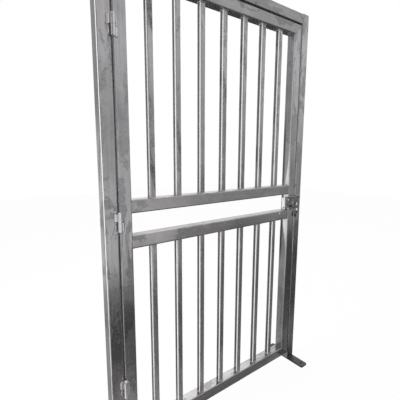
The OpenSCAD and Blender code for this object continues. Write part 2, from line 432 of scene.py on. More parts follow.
# Hot-dip zinc. A noise is its scale, detail, roughness and bend.
# A change is from, to, and the value at each of the two.
zinc = {
    "light": (0.405, 0.40, 0.405),
    "lightShare": 0.45,
    "warm": (0.395, 0.372, 0.380),
    "cool": (0.355, 0.362, 0.375),
    "cloud": (3.2, 3),    # where it is warm and where it is cool
    "warmToCool": (0.38, 0.62, 0, 1),
    "dark": (0.195, 0.188, 0.197),    # the dull patches, with sharp edges
    "patch": (6, 6, 0.66, 0.8),
    "patchEdge": (0.53, 0.55, 0, 1),
    "mottle": (95, 3, 0.6),
    "mottleEdge": (0.36, 0.66, 0, 1),
    "mottleDepth": (0, 1, 0.45, 1),
    "crystal": 75,    # crystals per metre
    "crystalTone": (0, 1, 0.965, 1.035),
    "crystalRough": 0.03,
    "drag": (1.0, 3, 0.6),    # drag marks along the tube
    "dragTone": (0.3, 0.7, 0.90, 1.08),
    "dragScale": (90, 2.2),    # across and along the tube
    "broad": (4.5, 4, 0.55, 0.4),
    "broadTone": (0.35, 0.65, 0.84, 1.12),
    "stretch": (1.5, 0.8),    # of patches and broad shades, across and along
    "spot": 16,    # small dark spots, in some of the cells
    "spotEdge": (0.035, 0.085, 1, 0),
    "spotRare": (0.55, 0.75, 0, 1),
    "spotTone": 0.42,
    "shiftShares": (1, 1.7, 0.6),    # of a coat's shift, along x, y and z
    "roughness": (0.19, 0.36),    # of the bright zinc and of the patches
    "wave": 9,    # slow waves in the face, per metre
    "waveHeight": 0.0007,
    "grain": 330,
    "grainHeight": 0.000008,
}

# what a zinc coat is, unless the list of coats says otherwise
plainZinc = {
    "along": "Z",         # the tube's direction
    "shift": 0,           # moves the pattern
    "tone": 1.0,          # how bright it is
    "metal": 0.92,
    "dull": 0.0,          # added roughness
    "wave": 1.0,          # the waves and the grain, as shares of the zinc's own
    "grain": 1.0,
    "patchy": 0.64,       # strength of the dull patches
    "bands": 0.0,         # strength of the dull lengths
    "lowDarkening": 0.0,         # how much darker it is at the very bottom
    "flank": 0.0,         # how much darker a bar's flat sides are
    "cornerDull": 0.0,    # added roughness on the rounded corners
    "cornerHighlight": 0.0,        # strength of the painted highlight line on the side corners
    "reach": -0.023,      # how far back that line goes on the side faces, along y
    "fade": 0.0,          # how much of it is lost low down
    "lockReach": 0.0,          # how much further back the painted highlight goes beside the lock
}


def zincPattern(s, coat, place):
    def scaled(across, along):
        scale = (across, across, along) if coat["along"] == "Z" else (along, across, across)
        return s.add("Mapping", {"Vector": place, "Scale": scale}).outputs[0]

    stretched = scaled(*zinc["stretch"])
    cells = s.add("TexVoronoi", {"Vector": place, "Scale": zinc["crystal"], "Randomness": 1.0}).outputs
    crystal = cellNumber(s, cells)
    patch = ramp(s, noise(s, stretched, *zinc["patch"]), *zinc["patchEdge"])
    mottle = ramp(s, noise(s, place, *zinc["mottle"]), *zinc["mottleEdge"])
    spots = s.add("TexVoronoi", {"Vector": place, "Scale": zinc["spot"], "Randomness": 1.0}).outputs
    spot = times(s, ramp(s, spots["Distance"], *zinc["spotEdge"]),
                 ramp(s, cellNumber(s, spots, 1), *zinc["spotRare"]))

    cloud = ramp(s, noise(s, place, *zinc["cloud"]), *zinc["warmToCool"])
    shine = mix(s, cloud, tint(zinc["warm"]), tint(zinc["cool"]))
    shine = mix(s, zinc["lightShare"], shine, tint(zinc["light"]))
    dirty = times(s, patch, times(s, ramp(s, mottle, *zinc["mottleDepth"]), coat["patchy"]))
    colour = mix(s, dirty, shine, tint(zinc["dark"]))
    facet = slope(s, crystal, *zinc["crystalTone"])
    lines = slope(s, noise(s, scaled(*zinc["dragScale"]), *zinc["drag"]), *zinc["dragTone"])
    broad = slope(s, noise(s, stretched, *zinc["broad"]), *zinc["broadTone"])
    tone = slope(s, spot, 0, 1, coat["tone"], zinc["spotTone"] * coat["tone"])
    value = times(s, facet, lines, broad, tone)
    return colour, value, patch, mottle, crystal


# dull lengths of a bar, with sharp, slightly slanting ends
bands = {
    "slant": 3.7,
    "perMetre": 9.0,
    "chosen": (0.70, 0.74),
    "mottled": (0, 1, 0.5, 1.2),
}


def bandTone(s, coat, at, mottle):
    run = plus(s, times(s, at[0], bands["slant"]), at[2])
    cells = s.add("TexVoronoi", {"W": run, "Scale": bands["perMetre"], "Randomness": 1.0},
                  voronoi_dimensions="1D").outputs
    chosen = ramp(s, cellNumber(s, cells), *bands["chosen"], 0, coat["bands"])
    return oneLess(s, times(s, chosen, slope(s, mottle, *bands["mottled"])))


# painted highlight on the side corners, painted shade beside the lock, and darkening low down: where
# they are, in metres from the foot of the hinge post, and how strong
surfaceMarks = {
    "colour": (0.98, 0.97, 0.975),    # painted highlight: a pale line on the side corners
    "metal": 0.05,
    "turnedFrom": 0.70,    # how far a corner is turned where the line begins
    "turnedFromBar": 0.62,
    "turnedSoft": 0.16,
    "flatSide": (0.978, 0.998),
    "corner": (0.93, 0.998, 1, 0),
    "back": (0.002, 0.006, 1, 0.35),    # the line is weaker on the back corners
    "soft": 0.002,
    "softNearLock": 0.005,
    "fadeFrom": (0.55, 1.05),    # height
    "lowDarkening": (0.05, 0.14),
    "flankSoft": 0.002,
    "lockSide": (1.0, 1.1, 0, 1),    # along the gate, beside the lock
    # painted highlight beside the lock, and painted shade on the back of the stile's inner face
    "litFrom": (0.82, 1.03, 0, 1),
    "litTo": (1.15, 1.50, 1, 0),
    "litHighlight": 0.95,
    "shadedFrom": (0.7, 0.85, 0, 1),
    "shadedTo": (1.5, 1.8, 1, 0),
    "shadedBack": (0.003, 0.016, 0, 0.68),
    "shadedFace": (0.8, 0.95, 0, 1),
}


def flankTone(s, coat, at):
    # the flat sides of the bars, behind the highlight line, are darker
    behind = ramp(s, at[1], coat["reach"], coat["reach"] + surfaceMarks["flankSoft"], 0, 1)
    return oneLess(s, times(s, ramp(s, turned(s, 0), *surfaceMarks["flatSide"], 0, coat["flank"]), behind))


def lockSideLightAndShade(s, coat, at):
    # painted highlight: beside the lock the line on the stile reaches further back; painted shade: the
    # back half of its inner face is darker there
    lockSide = ramp(s, at[0], *surfaceMarks["lockSide"])
    litNearLock = times(s, ramp(s, at[2], *surfaceMarks["litFrom"]), ramp(s, at[2], *surfaceMarks["litTo"]), lockSide)
    across = maths(s, "MULTIPLY_ADD", litNearLock, -coat["lockReach"], at[1])
    near = times(s, ramp(s, at[2], *surfaceMarks["shadedFrom"]), ramp(s, at[2], *surfaceMarks["shadedTo"]), lockSide)
    inner = ramp(s, turned(s, 0), *surfaceMarks["shadedFace"])
    shadedNearLock = times(s, ramp(s, at[1], *surfaceMarks["shadedBack"]), near, inner)
    return across, slope(s, litNearLock, 0, 1, coat["cornerHighlight"], surfaceMarks["litHighlight"]), oneLess(s, shadedNearLock)


def paintedHighlightLine(s, coat, at, across, cornerHighlight):
    # painted highlight on a corner turned towards the tube's side faces, and on those faces as far
    # back as the coat's reach
    side = turned(s, 0)
    soft = surfaceMarks["softNearLock"] if coat["lockReach"] else surfaceMarks["soft"]
    start = surfaceMarks["turnedFromBar"] if coat["flank"] else surfaceMarks["turnedFrom"]
    ends = larger(s, ramp(s, side, *surfaceMarks["flatSide"], 1, 0),
                  ramp(s, across, coat["reach"] - soft, coat["reach"] + soft, 1, 0))
    corner = ramp(s, side, start, start + surfaceMarks["turnedSoft"], 0, 1)
    line = times(s, corner, ends, ramp(s, across, *surfaceMarks["back"]))
    low = ramp(s, at[2], *surfaceMarks["fadeFrom"], 1 - coat["fade"], 1)
    return times(s, line, cornerHighlight, low)


def cornerShare(s):
    # 1 on a square tube's rounded corners, 0 on its flat faces
    flat = larger(s, turned(s, 0), larger(s, turned(s, 1), turned(s, 2)))
    return ramp(s, flat, *surfaceMarks["corner"])


def zincCoat(name, changes):
    coat = {**plainZinc, **changes}
    mat = bpy.data.materials.new(name)
    s = Shade(mat)
    local = s.add("TexCoord").outputs["Object"]
    moved = tuple(coat["shift"] * share for share in zinc["shiftShares"])
    place = s.add("Mapping", {"Vector": local, "Location": moved}).outputs[0]
    at = s.add("SeparateXYZ", {0: local}).outputs
    colour, value, patch, mottle, crystal = zincPattern(s, coat, place)
    if coat["bands"]:
        value = times(s, value, bandTone(s, coat, at, mottle))
    # darker towards the very bottom
    if coat["lowDarkening"]:
        value = times(s, value, ramp(s, at[2], *surfaceMarks["lowDarkening"], 1 - coat["lowDarkening"], 1))
    # the bars' flat sides are darker
    if coat["flank"]:
        value = times(s, value, flankTone(s, coat, at))
    across, cornerHighlight = at[1], coat["cornerHighlight"]
    # painted highlight and painted shade beside the lock
    if coat["lockReach"]:
        across, cornerHighlight, unshaded = lockSideLightAndShade(s, coat, at)
        value = times(s, value, unshaded)
    grey = s.add("CombineColor", {0: value, 1: value, 2: value}).outputs[0]
    colour = mix(s, 1.0, colour, grey, "MULTIPLY")

    low, high = zinc["roughness"]
    rough = slope(s, patch, 0, 1, low + coat["dull"], high + coat["dull"])
    rough = plus(s, rough, times(s, crystal, zinc["crystalRough"]))
    if coat["cornerDull"]:
        rough = plus(s, rough, times(s, cornerShare(s), coat["cornerDull"]))
    metal = coat["metal"]
    # painted highlight: the side corners turn pale and less metallic along a line
    if coat["cornerHighlight"]:
        line = paintedHighlightLine(s, coat, at, across, cornerHighlight)
        colour = mix(s, line, colour, tint(surfaceMarks["colour"]))
        metal = slope(s, line, 0, 1, metal, surfaceMarks["metal"])

    bumped = s.add("Bump", {"Height": noise(s, place, zinc["wave"]),
                            "Distance": zinc["waveHeight"] * coat["wave"], "Strength": 1.0})
    if coat["grain"]:
        bumped = s.add("Bump", {"Height": noise(s, place, zinc["grain"]),
                                "Distance": zinc["grainHeight"] * coat["grain"],
                                "Strength": 1.0, "Normal": bumped.outputs[0]})
    steel = s.add("BsdfPrincipled", {"Base Color": colour, "Metallic": metal, "Roughness": rough,
                                     "Normal": bumped.outputs[0]})
    s.add("OutputMaterial", {"Surface": steel.outputs[0]})
    return mat


zincCoats = {
    # cornerHighlight is the strength of the painted highlight line on the side corners
    "post": {"cornerHighlight": 0.7, "cornerDull": 0.22, "lowDarkening": 0.6, "fade": 0.45},
    "latchPost": {"cornerHighlight": 0.4, "cornerDull": 0.22, "lowDarkening": 0.6, "fade": 0.85},
    "head": {"along": "X", "shift": 3.1, "tone": 0.71},
    "topRail": {"along": "X", "shift": 5.2, "tone": 0.77},
    "stile": {"shift": 7.3, "cornerHighlight": 0.45, "cornerDull": 0.1, "fade": 0.45, "reach": -0.021,
              "lockReach": 0.028},
    "rail": {"along": "X", "shift": 11.9, "patchy": 0.4},
    "upperBar": {"shift": 17.2, "tone": 0.97, "metal": 0.76, "dull": -0.03, "wave": 0.3, "grain": 0,
                 "patchy": 0.66, "bands": 0.42, "flank": 0.4, "cornerDull": 0.14, "cornerHighlight": 0.9,
                 "reach": -0.0078},
    "lowerBar": {"shift": 19.4, "tone": 1.16, "metal": 0.66, "dull": -0.03, "wave": 0.3, "grain": 0,
                 "bands": 0.20, "flank": 0.68, "cornerDull": 0.10, "cornerHighlight": 1.0, "reach": -0.0078},
    "foot": {"along": "X", "shift": 23.0, "tone": 0.225, "dull": 0.25},
    "hinge": {"shift": 29.0, "tone": 1.62, "dull": 0.04},
    "weld": {"shift": 37.0, "tone": 1.35, "dull": 0.02, "wave": 0.3},
    "seam": {"shift": 41.0, "tone": 0.5, "dull": 0.15, "wave": 0.3},
}

# the other coats cloud between two colours, with fine specks and a fine grain in the surface
plainCoats = {
    "case": {"name": "caseSteel", "light": (0.34, 0.325, 0.34), "dark": (0.10, 0.094, 0.102),
             "metal": 0.75, "roughness": (0.32, 0.5),
             "cloud": 90, "grain": 420, "grainHeight": 0.00012},
    "edge": {"name": "wornEdge", "light": (0.52, 0.51, 0.52), "dark": (0.34, 0.33, 0.34),
             "metal": 0.9, "roughness": (0.22, 0.34),
             "cloud": 160, "grain": 500, "grainHeight": 0.00003},
    "bright": {"name": "brightNickel", "light": (0.97, 0.96, 0.96), "dark": (0.93, 0.92, 0.93),
               "metal": 0.15, "roughness": (0.18, 0.28),
               "cloud": 60, "grain": 600, "grainHeight": 0.00001,
               "rimFrom": 0.0125},    # the back edge of the plate is darker grey
    "chrome": {"name": "chrome", "light": (0.86, 0.86, 0.87), "dark": (0.72, 0.72, 0.74),
               "metal": 1.0, "roughness": (0.08, 0.15),
               "cloud": 80, "grain": 500, "grainHeight": 0.000005},
    "plastic": {"name": "blackPlastic", "light": (0.02, 0.02, 0.021), "dark": (0.012, 0.012, 0.013),
                "metal": 0.0, "roughness": (0.34, 0.46),
                "cloud": 120, "grain": 900, "grainHeight": 0.00004},
}
cloudy = {
    "noise": (4, 0.6, 0.4),    # detail, roughness and bend
    "edge": (0.36, 0.64, 0, 1),
    "speckEdge": (0.55, 0.72, 0, 1),
    "speckShare": 0.35,
    "rimSoft": 0.003,
    "rimColour": (0.30, 0.295, 0.30),
}


def plainCoat(coat):
    mat = bpy.data.materials.new(coat["name"])
    s = Shade(mat)
    place = s.add("TexCoord").outputs["Object"]
    light, dark = tint(coat["light"]), tint(coat["dark"])
    cloud = ramp(s, noise(s, place, coat["cloud"], *cloudy["noise"]), *cloudy["edge"])
    speck = ramp(s, noise(s, place, coat["grain"]), *cloudy["speckEdge"])
    colour = mix(s, times(s, speck, cloudy["speckShare"]), mix(s, cloud, light, dark), light)
    if "rimFrom" in coat:
        depth = s.add("SeparateXYZ", {0: place}).outputs[1]
        rim = ramp(s, depth, coat["rimFrom"], coat["rimFrom"] + cloudy["rimSoft"], 0, 1)
        colour = mix(s, rim, colour, tint(cloudy["rimColour"]))
    rough = slope(s, cloud, 0, 1, *coat["roughness"])
    grain = s.add("Bump", {"Height": noise(s, place, coat["grain"], 3),
                           "Distance": coat["grainHeight"], "Strength": 1.0})
    shell = s.add("BsdfPrincipled", {"Base Color": colour, "Metallic": coat["metal"],
                                     "Roughness": rough, "Normal": grain.outputs[0]})
    s.add("OutputMaterial", {"Surface": shell.outputs[0]})
    return mat


coats = {name: zincCoat(name + "Zinc", changes) for name, changes in zincCoats.items()}
coats.update({name: plainCoat(coat) for name, coat in plainCoats.items()})

# the first of these words that is in a node's name gives its coat, and the rest have the post's
coatWords = (
    ("lock_case", "case"), ("lock_inner_plate", "bright"), ("lock_cylinder", "chrome"),
    ("key", "plastic"), ("upper_bar", "upperBar"), ("lower_bar", "lowerBar"),
    ("foot", "foot"), ("latch_post", "latchPost"),
    ("hinge_post_half", "hinge"), ("leaf_half", "hinge"), ("pin", "hinge"),
    ("head_rail", "head"), ("leaf_top_rail", "topRail"), ("rail", "rail"), ("stile", "stile"),
)


def coatOf(name):
    return coats[next((coat for word, coat in coatWords if word in name), "post")]


for name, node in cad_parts.items():
    for slot in node.material_slots:
        slot.material = coatOf(name)
print("finishes on", len(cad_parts), "nodes")


def boxOf(name):
    low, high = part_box(name)
    return Vector(low), Vector(high)


def finishPiece(bm, name, body, coat, smooth=True):
    mesh = bpy.data.meshes.new(name)
    bmesh.ops.recalc_face_normals(bm, faces=bm.faces)
    bm.to_mesh(mesh)
    bm.free()
    for face in mesh.polygons:
        face.use_smooth = smooth
    piece = bpy.data.objects.new(name, mesh)
    bpy.context.scene.collection.objects.link(piece)
    mesh.materials.append(coats[coat])
    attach(piece, body)


def joinRings(bm, one, two):
    for j in range(len(one)):
        k = (j + 1) % len(one)
        bm.faces.new((one[j], one[k], two[k], two[j]))


weld = {
    "seed": 41,
    "step": 0.0022,          # between the rings of a bead
    "sides": 9,
    "pitch": 0.0058,         # between the ripples
    "lump": 0.16,            # depth of the ripples, as a share of the radius
    "swell": (0.14, 140),    # two slower changes: share of the radius, turns in radians per metre
    "drift": (0.08, 53),
    "phase": 6.28,           # they start anywhere in a turn
    "uneven": 0.04,
    "tip": 0.35,             # how thin an end is, and how many rings it takes to thicken
    "tipRings": 1.5,
    "bar": 0.0028,           # radius of each kind of bead
    "butt": 0.0025,
    "fillet": 0.0040,
    "mitre": 0.0022,
    "foot": 0.0048,
    "cap": 0.0018,
    "wing": 0.0032,
    "barOut": 0.0004,        # the loop round a bar, outside its face, and the loop's corner
    "barCorner": 0.0084,
    "capIn": 0.0026,         # the loop under a cap, inside the post's face
    "capCorner": 0.0040,
    "faceIn": 0.0026,        # beads on a rounded edge lie this far in from the face
    "footSideIn": 0.0024,
    "endIn": 0.004,          # and stop this far from the corners
    "depthIn": 0.005,
    "mitreStart": 0.006,
    "mitreSunk": 0.62,       # share of the radius
    "wingIn": 0.012,
    "wingEnd": 0.001,
    "wingLength": 0.0345,
    "wingSunk": 0.0012,
}
barNumbers = range(1, 8)
hingePlaces = ("bottom", "middle", "top")


def evenly(path, closed):
    # the path again, with points a step apart
    points = [Vector(p) for p in path]
    if closed:
        points.append(points[0].copy())
    lengths = [(b - a).length for a, b in zip(points, points[1:])]
    whole = sum(lengths)
    count = max(3, round(whole / weld["step"]))
    out, k, passed = [], 0, 0.0
    for i in range(count if closed else count + 1):
        at = whole * i / count
        while k < len(lengths) - 1 and passed + lengths[k] < at:
            passed += lengths[k]
            k += 1
        share = (at - passed) / max(lengths[k], 1e-9)
        out.append(points[k].lerp(points[k + 1], min(1, max(0, share))))
    return out


def addBead(bm, path, radius, rng, closed=False):
    points = evenly(path, closed)
    count = len(points)
    rings = []
    swell, swellTurns = weld["swell"]
    drift, driftTurns = weld["drift"]
    swellAt, driftAt = rng.uniform(0, weld["phase"]), rng.uniform(0, weld["phase"])
    for i, point in enumerate(points):
        ahead = points[(i + 1) % count] if closed or i < count - 1 else point
        behind = points[i - 1] if closed or i else point
        run = (ahead - behind).normalized()
        upright = abs(run.z) > 0.9
        side = run.orthogonal().normalized() if upright else run.cross(Vector((0, 0, 1))).normalized()
        up = side.cross(run)
        gone = i * weld["step"]
        ripple = abs(math.sin(math.pi * gone / weld["pitch"]))
        size = radius * (1 - weld["lump"] + weld["lump"] * ripple
                         + swell * math.sin(gone * swellTurns + swellAt)
                         + drift * math.sin(gone * driftTurns + driftAt)
                         + rng.uniform(-weld["uneven"], weld["uneven"]))
        if not closed:
            fromEnd = min(i, count - 1 - i)
            size *= min(1, weld["tip"] + (1 - weld["tip"]) * fromEnd / weld["tipRings"])
        rings.append([bm.verts.new(point + size * (math.cos(a) * side + math.sin(a) * up))
                      for a in (2 * math.pi * j / weld["sides"] for j in range(weld["sides"]))])
    for one, two in zip(rings, rings[1:]):
        joinRings(bm, one, two)
    if closed:
        joinRings(bm, rings[-1], rings[0])
    else:
        bm.faces.new(rings[0])
        bm.faces.new(rings[-1][::-1])


def squareLoop(x, y, z, half, corner, turns=5):
    loop = []
    for k in range(4):
        mx = x + (half - corner) * (1, -1, -1, 1)[k]
        my = y + (half - corner) * (1, 1, -1, -1)[k]
        for j in range(turns + 1):
            a = math.pi / 2 * (k + j / turns)
            loop.append((mx + corner * math.cos(a), my + corner * math.sin(a), z))
    return loop


def makeBarWelds(rng):
    # round both ends of every bar
    for panel in ("lower", "upper"):
        for end, endName in enumerate(("Foot", "Head")):
            bm = bmesh.new()
            for i in barNumbers:
                low, high = boxOf("%s_bar_%d" % (panel, i))
                mid = (low + high) / 2
                half = (high.x - low.x) / 2 + weld["barOut"]
                loop = squareLoop(mid.x, mid.y, (low, high)[end].z, half, weld["barCorner"])
                addBead(bm, loop, weld["bar"], rng, True)
            finishPiece(bm, panel + "Bar" + endName + "Welds", "leaf", "weld")


def makeLeafWelds(rng):
    # the middle rails against the stiles, and the four mitred corners
    leafLow, leafHigh = boxOf("hinge_stile")[0], boxOf("latch_stile")[1]
    width = boxOf("hinge_stile")[1].x - leafLow.x
    front, back = leafLow.y, leafHigh.y
    endIn, depthIn = weld["endIn"], weld["depthIn"]
    bm = bmesh.new()
    for rail in ("lower_middle_rail", "upper_middle_rail"):
        low, high = boxOf(rail)
        for x in (low.x, high.x):
            for y in (front + weld["faceIn"], back - weld["faceIn"]):
                addBead(bm, [(x, y, low.z + endIn), (x, y, high.z - endIn)], weld["butt"], rng)
            for z in (low.z, high.z):
                addBead(bm, [(x, front + depthIn, z), (x, back - depthIn, z)], weld["butt"], rng)
    finishPiece(bm, "middleRailWelds", "leaf", "weld")

    bm = bmesh.new()
    sunk = weld["mitre"] * weld["mitreSunk"]
    start, end = weld["mitreStart"], width - endIn
    for x, inX in ((leafLow.x, 1), (leafHigh.x, -1)):
        for z, inZ in ((leafLow.z, 1), (leafHigh.z, -1)):
            for y in (front + sunk, back - sunk):
                addBead(bm, [(x + inX * start, y, z + inZ * start), (x + inX * end, y, z + inZ * end)],
                        weld["mitre"], rng)
            innerX, innerZ = x + inX * width, z + inZ * width
            addBead(bm, [(innerX, front + depthIn, innerZ), (innerX, back - depthIn, innerZ)],
                    weld["fillet"], rng)
    finishPiece(bm, "mitreWelds", "leaf", "seam")


def makeFrameWelds(rng):
    # the head rail against the posts, the caps and the feet
    endIn, depthIn = weld["endIn"], weld["depthIn"]
    low, high = boxOf("head_rail")
    bm = bmesh.new()
    for x in (low.x, high.x):
        for y in (low.y + weld["faceIn"], high.y - weld["faceIn"]):
            addBead(bm, [(x, y, low.z + endIn), (x, y, high.z - endIn)], weld["butt"], rng)
        addBead(bm, [(x, low.y + depthIn, low.z), (x, high.y - depthIn, low.z)], weld["butt"], rng)
    feet = bmesh.new()
    for post in ("hinge_post", "latch_post"):
        low, high = boxOf(post)
        mid = (low + high) / 2
        half = mid.x - low.x - weld["capIn"]
        addBead(bm, squareLoop(mid.x, mid.y, high.z, half, weld["capCorner"]), weld["cap"], rng, True)
        for y in (low.y, high.y):
            addBead(feet, [(low.x + endIn, y, low.z), (high.x - endIn, y, low.z)], weld["foot"], rng)
        for x in (low.x + weld["footSideIn"], high.x - weld["footSideIn"]):
            addBead(feet, [(x, low.y + endIn, low.z), (x, high.y - endIn, low.z)], weld["cap"], rng)
    finishPiece(bm, "frameWelds", "frame", "weld")
    finishPiece(feet, "footWelds", "frame", "foot")


def makeHingeWelds(rng):
    # round the hinge wings: the upper ones on the post, the lower ones on the leaf
    for half, body in (("post_half", "frame"), ("leaf_half", "leaf")):
        bm = bmesh.new()
        for place in hingePlaces:
            low, high = boxOf("%s_hinge_%s" % (place, half))
            if body == "frame":
                edge, inner = low.x, low.x + weld["wingIn"]
                zLow, zHigh = high.z - weld["wingLength"], high.z - weld["wingEnd"]
            else:
                edge, inner = high.x, high.x - weld["wingIn"]
                zLow, zHigh = low.z + weld["wingEnd"], low.z + weld["wingLength"]
            y = high.y - weld["wingSunk"]
            addBead(bm, [(inner, y, zLow), (edge, y, zLow), (edge, y, zHigh), (inner, y, zHigh)],
                    weld["wing"], rng)
        finishPiece(bm, "hingeWelds" + body.title(), body, "weld")


weldDraws = random.Random(weld["seed"])
makeBarWelds(weldDraws)
makeLeafWelds(weldDraws)
makeFrameWelds(weldDraws)
makeHingeWelds(weldDraws)
print("welds ready")


# across, up and outward on a front face, on a top and on a left side
faceOn = (Vector((1, 0, 0)), Vector((0, 0, 1)), Vector((0, -1, 0)))
faceUp = (Vector((1, 0, 0)), Vector((0, 1, 0)), Vector((0, 0, 1)))
faceLeft = (Vector((0, -1, 0)), Vector((0, 0, 1)), Vector((-1, 0, 0)))


def addTurned(bm, centre, axes, profile, sides, stretch):
    # a turned shape from rings of radius, height and whether six-sided
    across, up, out = axes
    rings = []
    for radius, height, sixSided in profile:
        ring = []
        for j in range(sides):
            a = 2 * math.pi * j / sides
            r = radius
            if sixSided:
                r *= math.cos(math.pi / 6) / math.cos(a % (math.pi / 3) - math.pi / 6)
            ring.append(bm.verts.new(Vector(centre) + r * math.cos(a) * stretch[0] * across
                                     + r * math.sin(a) * stretch[1] * up + height * out))
        rings.append(ring)
    for one, two in zip(rings, rings[1:]):
        joinRings(bm, one, two)
    bm.faces.new(rings[0])
    bm.faces.new(rings[-1][::-1])


# turned fittings: sides, then round and six-sided rings of radius and height, in millimetres
fittings = {
    "screwHead": {
        "sides": 28,
        "round": ((4.9, 0), (4.9, 1.3), (4.5, 2.1), (3.6, 2.7), (2.9, 2.9)),
        "sixSided": ((2.3, 2.9), (2.1, 1.8)),
    },
    "rosette": {
        "sides": 36,
        "round": ((9.7, 0), (9.7, 2.6), (9.2, 3.4), (8.2, 3.9), (6.9, 3.9), (6.3, 3.3), (4.2, 3.2),
                  (3.9, 4.3), (3.2, 4.7), (1.0, 4.8)),
    },
    "oval": {
        "sides": 32,
        "round": ((6.9, 0), (6.9, 2.2), (6.5, 3.2), (5.2, 4.0), (3.2, 4.5), (0.8, 4.6)),
    },
    "rivet": {
        "sides": 18,
        "round": ((2.6, 0), (2.5, 0.7), (2.0, 1.3), (1.0, 1.6), (0.3, 1.65)),
    },
    "pinCap": {
        "sides": 32,
        "round": ((7.7, -0.3), (7.9, 0.5), (7.5, 1.3), (5.8, 2.1), (3.0, 2.6), (0.6, 2.7)),
    },
    "countersunk": {
        "sides": 18,
        "round": ((4.4, 0), (4.3, 0.35), (2.9, 0.4)),
        "sixSided": ((2.2, 0.4), (2.0, 0.1)),
    },
}


def addFitting(bm, name, centre, axes, stretch=(1, 1)):
    fitting = fittings[name]
    profile = [(radius / 1000, height / 1000, kind == "sixSided")
               for kind in ("round", "sixSided") for radius, height in fitting.get(kind, ())]
    addTurned(bm, centre, axes, profile, fitting["sides"], stretch)


# places on the front of the lock's case: along and up from its lower left corner
lock = {
    "seed": 7,
    "depth": 0.018,    # from the case's back to its front face
    "screwX": 0.008,
    "screwLow": 0.008,
    "screwDown": 0.018,    # from the top
    "rosette": (0.050, 0.042),
    "rivets": ((0.066, 0.060), (0.073, 0.020), (0.030, 0.066)),
    "guardFrom": 0.011,
    "guardTo": 0.050,
    "guardUp": 0.0115,
    "guardOut": 0.0002,
    "guardRadius": 0.0014,
    "edgeIn": 0.001,    # the worn top edge
    "edgeSunk": 0.0012,
    "edgeDown": 0.0003,
    "edgeRadius": 0.0018,
    "oval": (0.0945, 0.027),
    "ovalStretch": (1, 1.95),
    "slide": (0.036, 0.0215),
    "slideSunk": 0.0005,
    "slideSize": (0.013, 0.0046, 0.011),
    "slideBevel": 0.0012,
    "slideSegments": 3,
}


def makeLockFittings():
    rng = random.Random(lock["seed"])
    low, high = boxOf("lock_case")
    face = high.y - lock["depth"]

    def onCase(place, sunk=0):
        return low.x + place[0], face + sunk, low.z + place[1]

    bm = bmesh.new()
    for z in (low.z + lock["screwLow"], high.z - lock["screwDown"]):
        addFitting(bm, "screwHead", (low.x + lock["screwX"], face, z), faceOn)
    finishPiece(bm, "lockScrews", "leaf", "bright")

    bm = bmesh.new()
    addFitting(bm, "rosette", onCase(lock["rosette"]), faceOn)
    for place in lock["rivets"]:
        addFitting(bm, "rivet", onCase(place), faceOn)
    # the guard round the slide, and the worn top edge of the case
    y, z = face - lock["guardOut"], low.z + lock["guardUp"]
    addBead(bm, [(low.x + lock["guardFrom"], y, z), (low.x + lock["guardTo"], y, z)],
            lock["guardRadius"], rng)
    y, z = face + lock["edgeSunk"], high.z - lock["edgeDown"]
    addBead(bm, [(low.x + lock["edgeIn"], y, z), (high.x - lock["edgeIn"], y, z)],
            lock["edgeRadius"], rng)
    finishPiece(bm, "lockRaisedParts", "leaf", "edge")

    bm = bmesh.new()
    addFitting(bm, "oval", onCase(lock["oval"]), faceOn, lock["ovalStretch"])
    finishPiece(bm, "lockOvalCover", "leaf", "chrome")

    # the slide in the lock's recess
    bm = bmesh.new()
    made = bmesh.ops.create_cube(bm, size=1)["verts"]
    bmesh.ops.scale(bm, vec=lock["slideSize"], verts=made)
    bmesh.ops.translate(bm, vec=onCase(lock["slide"], lock["slideSunk"]), verts=made)
    bmesh.ops.bevel(bm, geom=bm.edges[:], offset=lock["slideBevel"], segments=lock["slideSegments"],
                    affect="EDGES")
    finishPiece(bm, "lockSlide", "leaf", "plastic")


# black heads on the bright plate, which also stand as painted shade in its hole
plateScrewsAndHoleShade = {
    "sunk": 0.0004,
    "fromEnd": 0.011,        # from the plate's lower and upper end
    "depths": (0, 0.002),    # along y, the lower screw first
    "sizes": (1.35, 0.5),
}


def makePlateScrewsAndHoleShade():
    low, high = boxOf("lock_inner_plate")
    heights = low.z + plateScrewsAndHoleShade["fromEnd"], high.z - plateScrewsAndHoleShade["fromEnd"]
    bm = bmesh.new()
    for z, y, size in zip(heights, plateScrewsAndHoleShade["depths"], plateScrewsAndHoleShade["sizes"]):
        addFitting(bm, "countersunk", (low.x + plateScrewsAndHoleShade["sunk"], y, z), faceLeft, (size, size))
    finishPiece(bm, "plateScrewsAndHoleShade", "leaf", "plastic")


def makePinCaps():
    bm = bmesh.new()
    for place in hingePlaces:
        low, high = boxOf(place + "_hinge_pin")
        mid = (low + high) / 2
        addFitting(bm, "pinCap", (mid.x, mid.y, high.z), faceUp)
    finishPiece(bm, "hingePinCaps", "leaf", "bright")


# drops of weld metal
drops = {
    "seed": 19,
    "uneven": (0.93, 1.05),
    "rings": (0, 0.3, 0.65, 1.0, 1.3, 1.5),  # angles up a drop's side
    "sides": 14,
    # lumps where a wing was tacked: body, half, side, how far in from its edge, how far past its end
    "tacks": (("frame", "post_half", -1, 0.006, 0.021), ("leaf", "leaf_half", 1, 0.004, 0.016)),
    "lumps": 4,
    "lumpPitch": 0.0068,
    "lumpAside": 0.002,
    "lumpRadius": (0.0040, 0.0052),
    "lumpHeight": (0.0026, 0.0036),
    "lumpStretch": (1, 1.2),
    "specks": 5,
    "speckAside": (0.003, 0.012),
    "speckUp": 0.03,
    "speckRadius": (0.0006, 0.0013),
    "speckHeight": 0.0008,
    "perBar": 4,    # drops on the rails, round each bar's foot
    "barAside": (0.021, 0.034),
    "barDepth": 0.021,
    "barRadius": (0.0006, 0.0015),
    "barHeight": 0.0007,
}


def addDrop(bm, centre, axes, radius, height, rng, stretch=(1, 1)):
    # a flat-bottomed drop of metal, a little uneven
    profile = [(radius * math.cos(a) * rng.uniform(*drops["uneven"]), height * math.sin(a), False)
               for a in drops["rings"]]
    addTurned(bm, centre, axes, profile, drops["sides"], stretch)


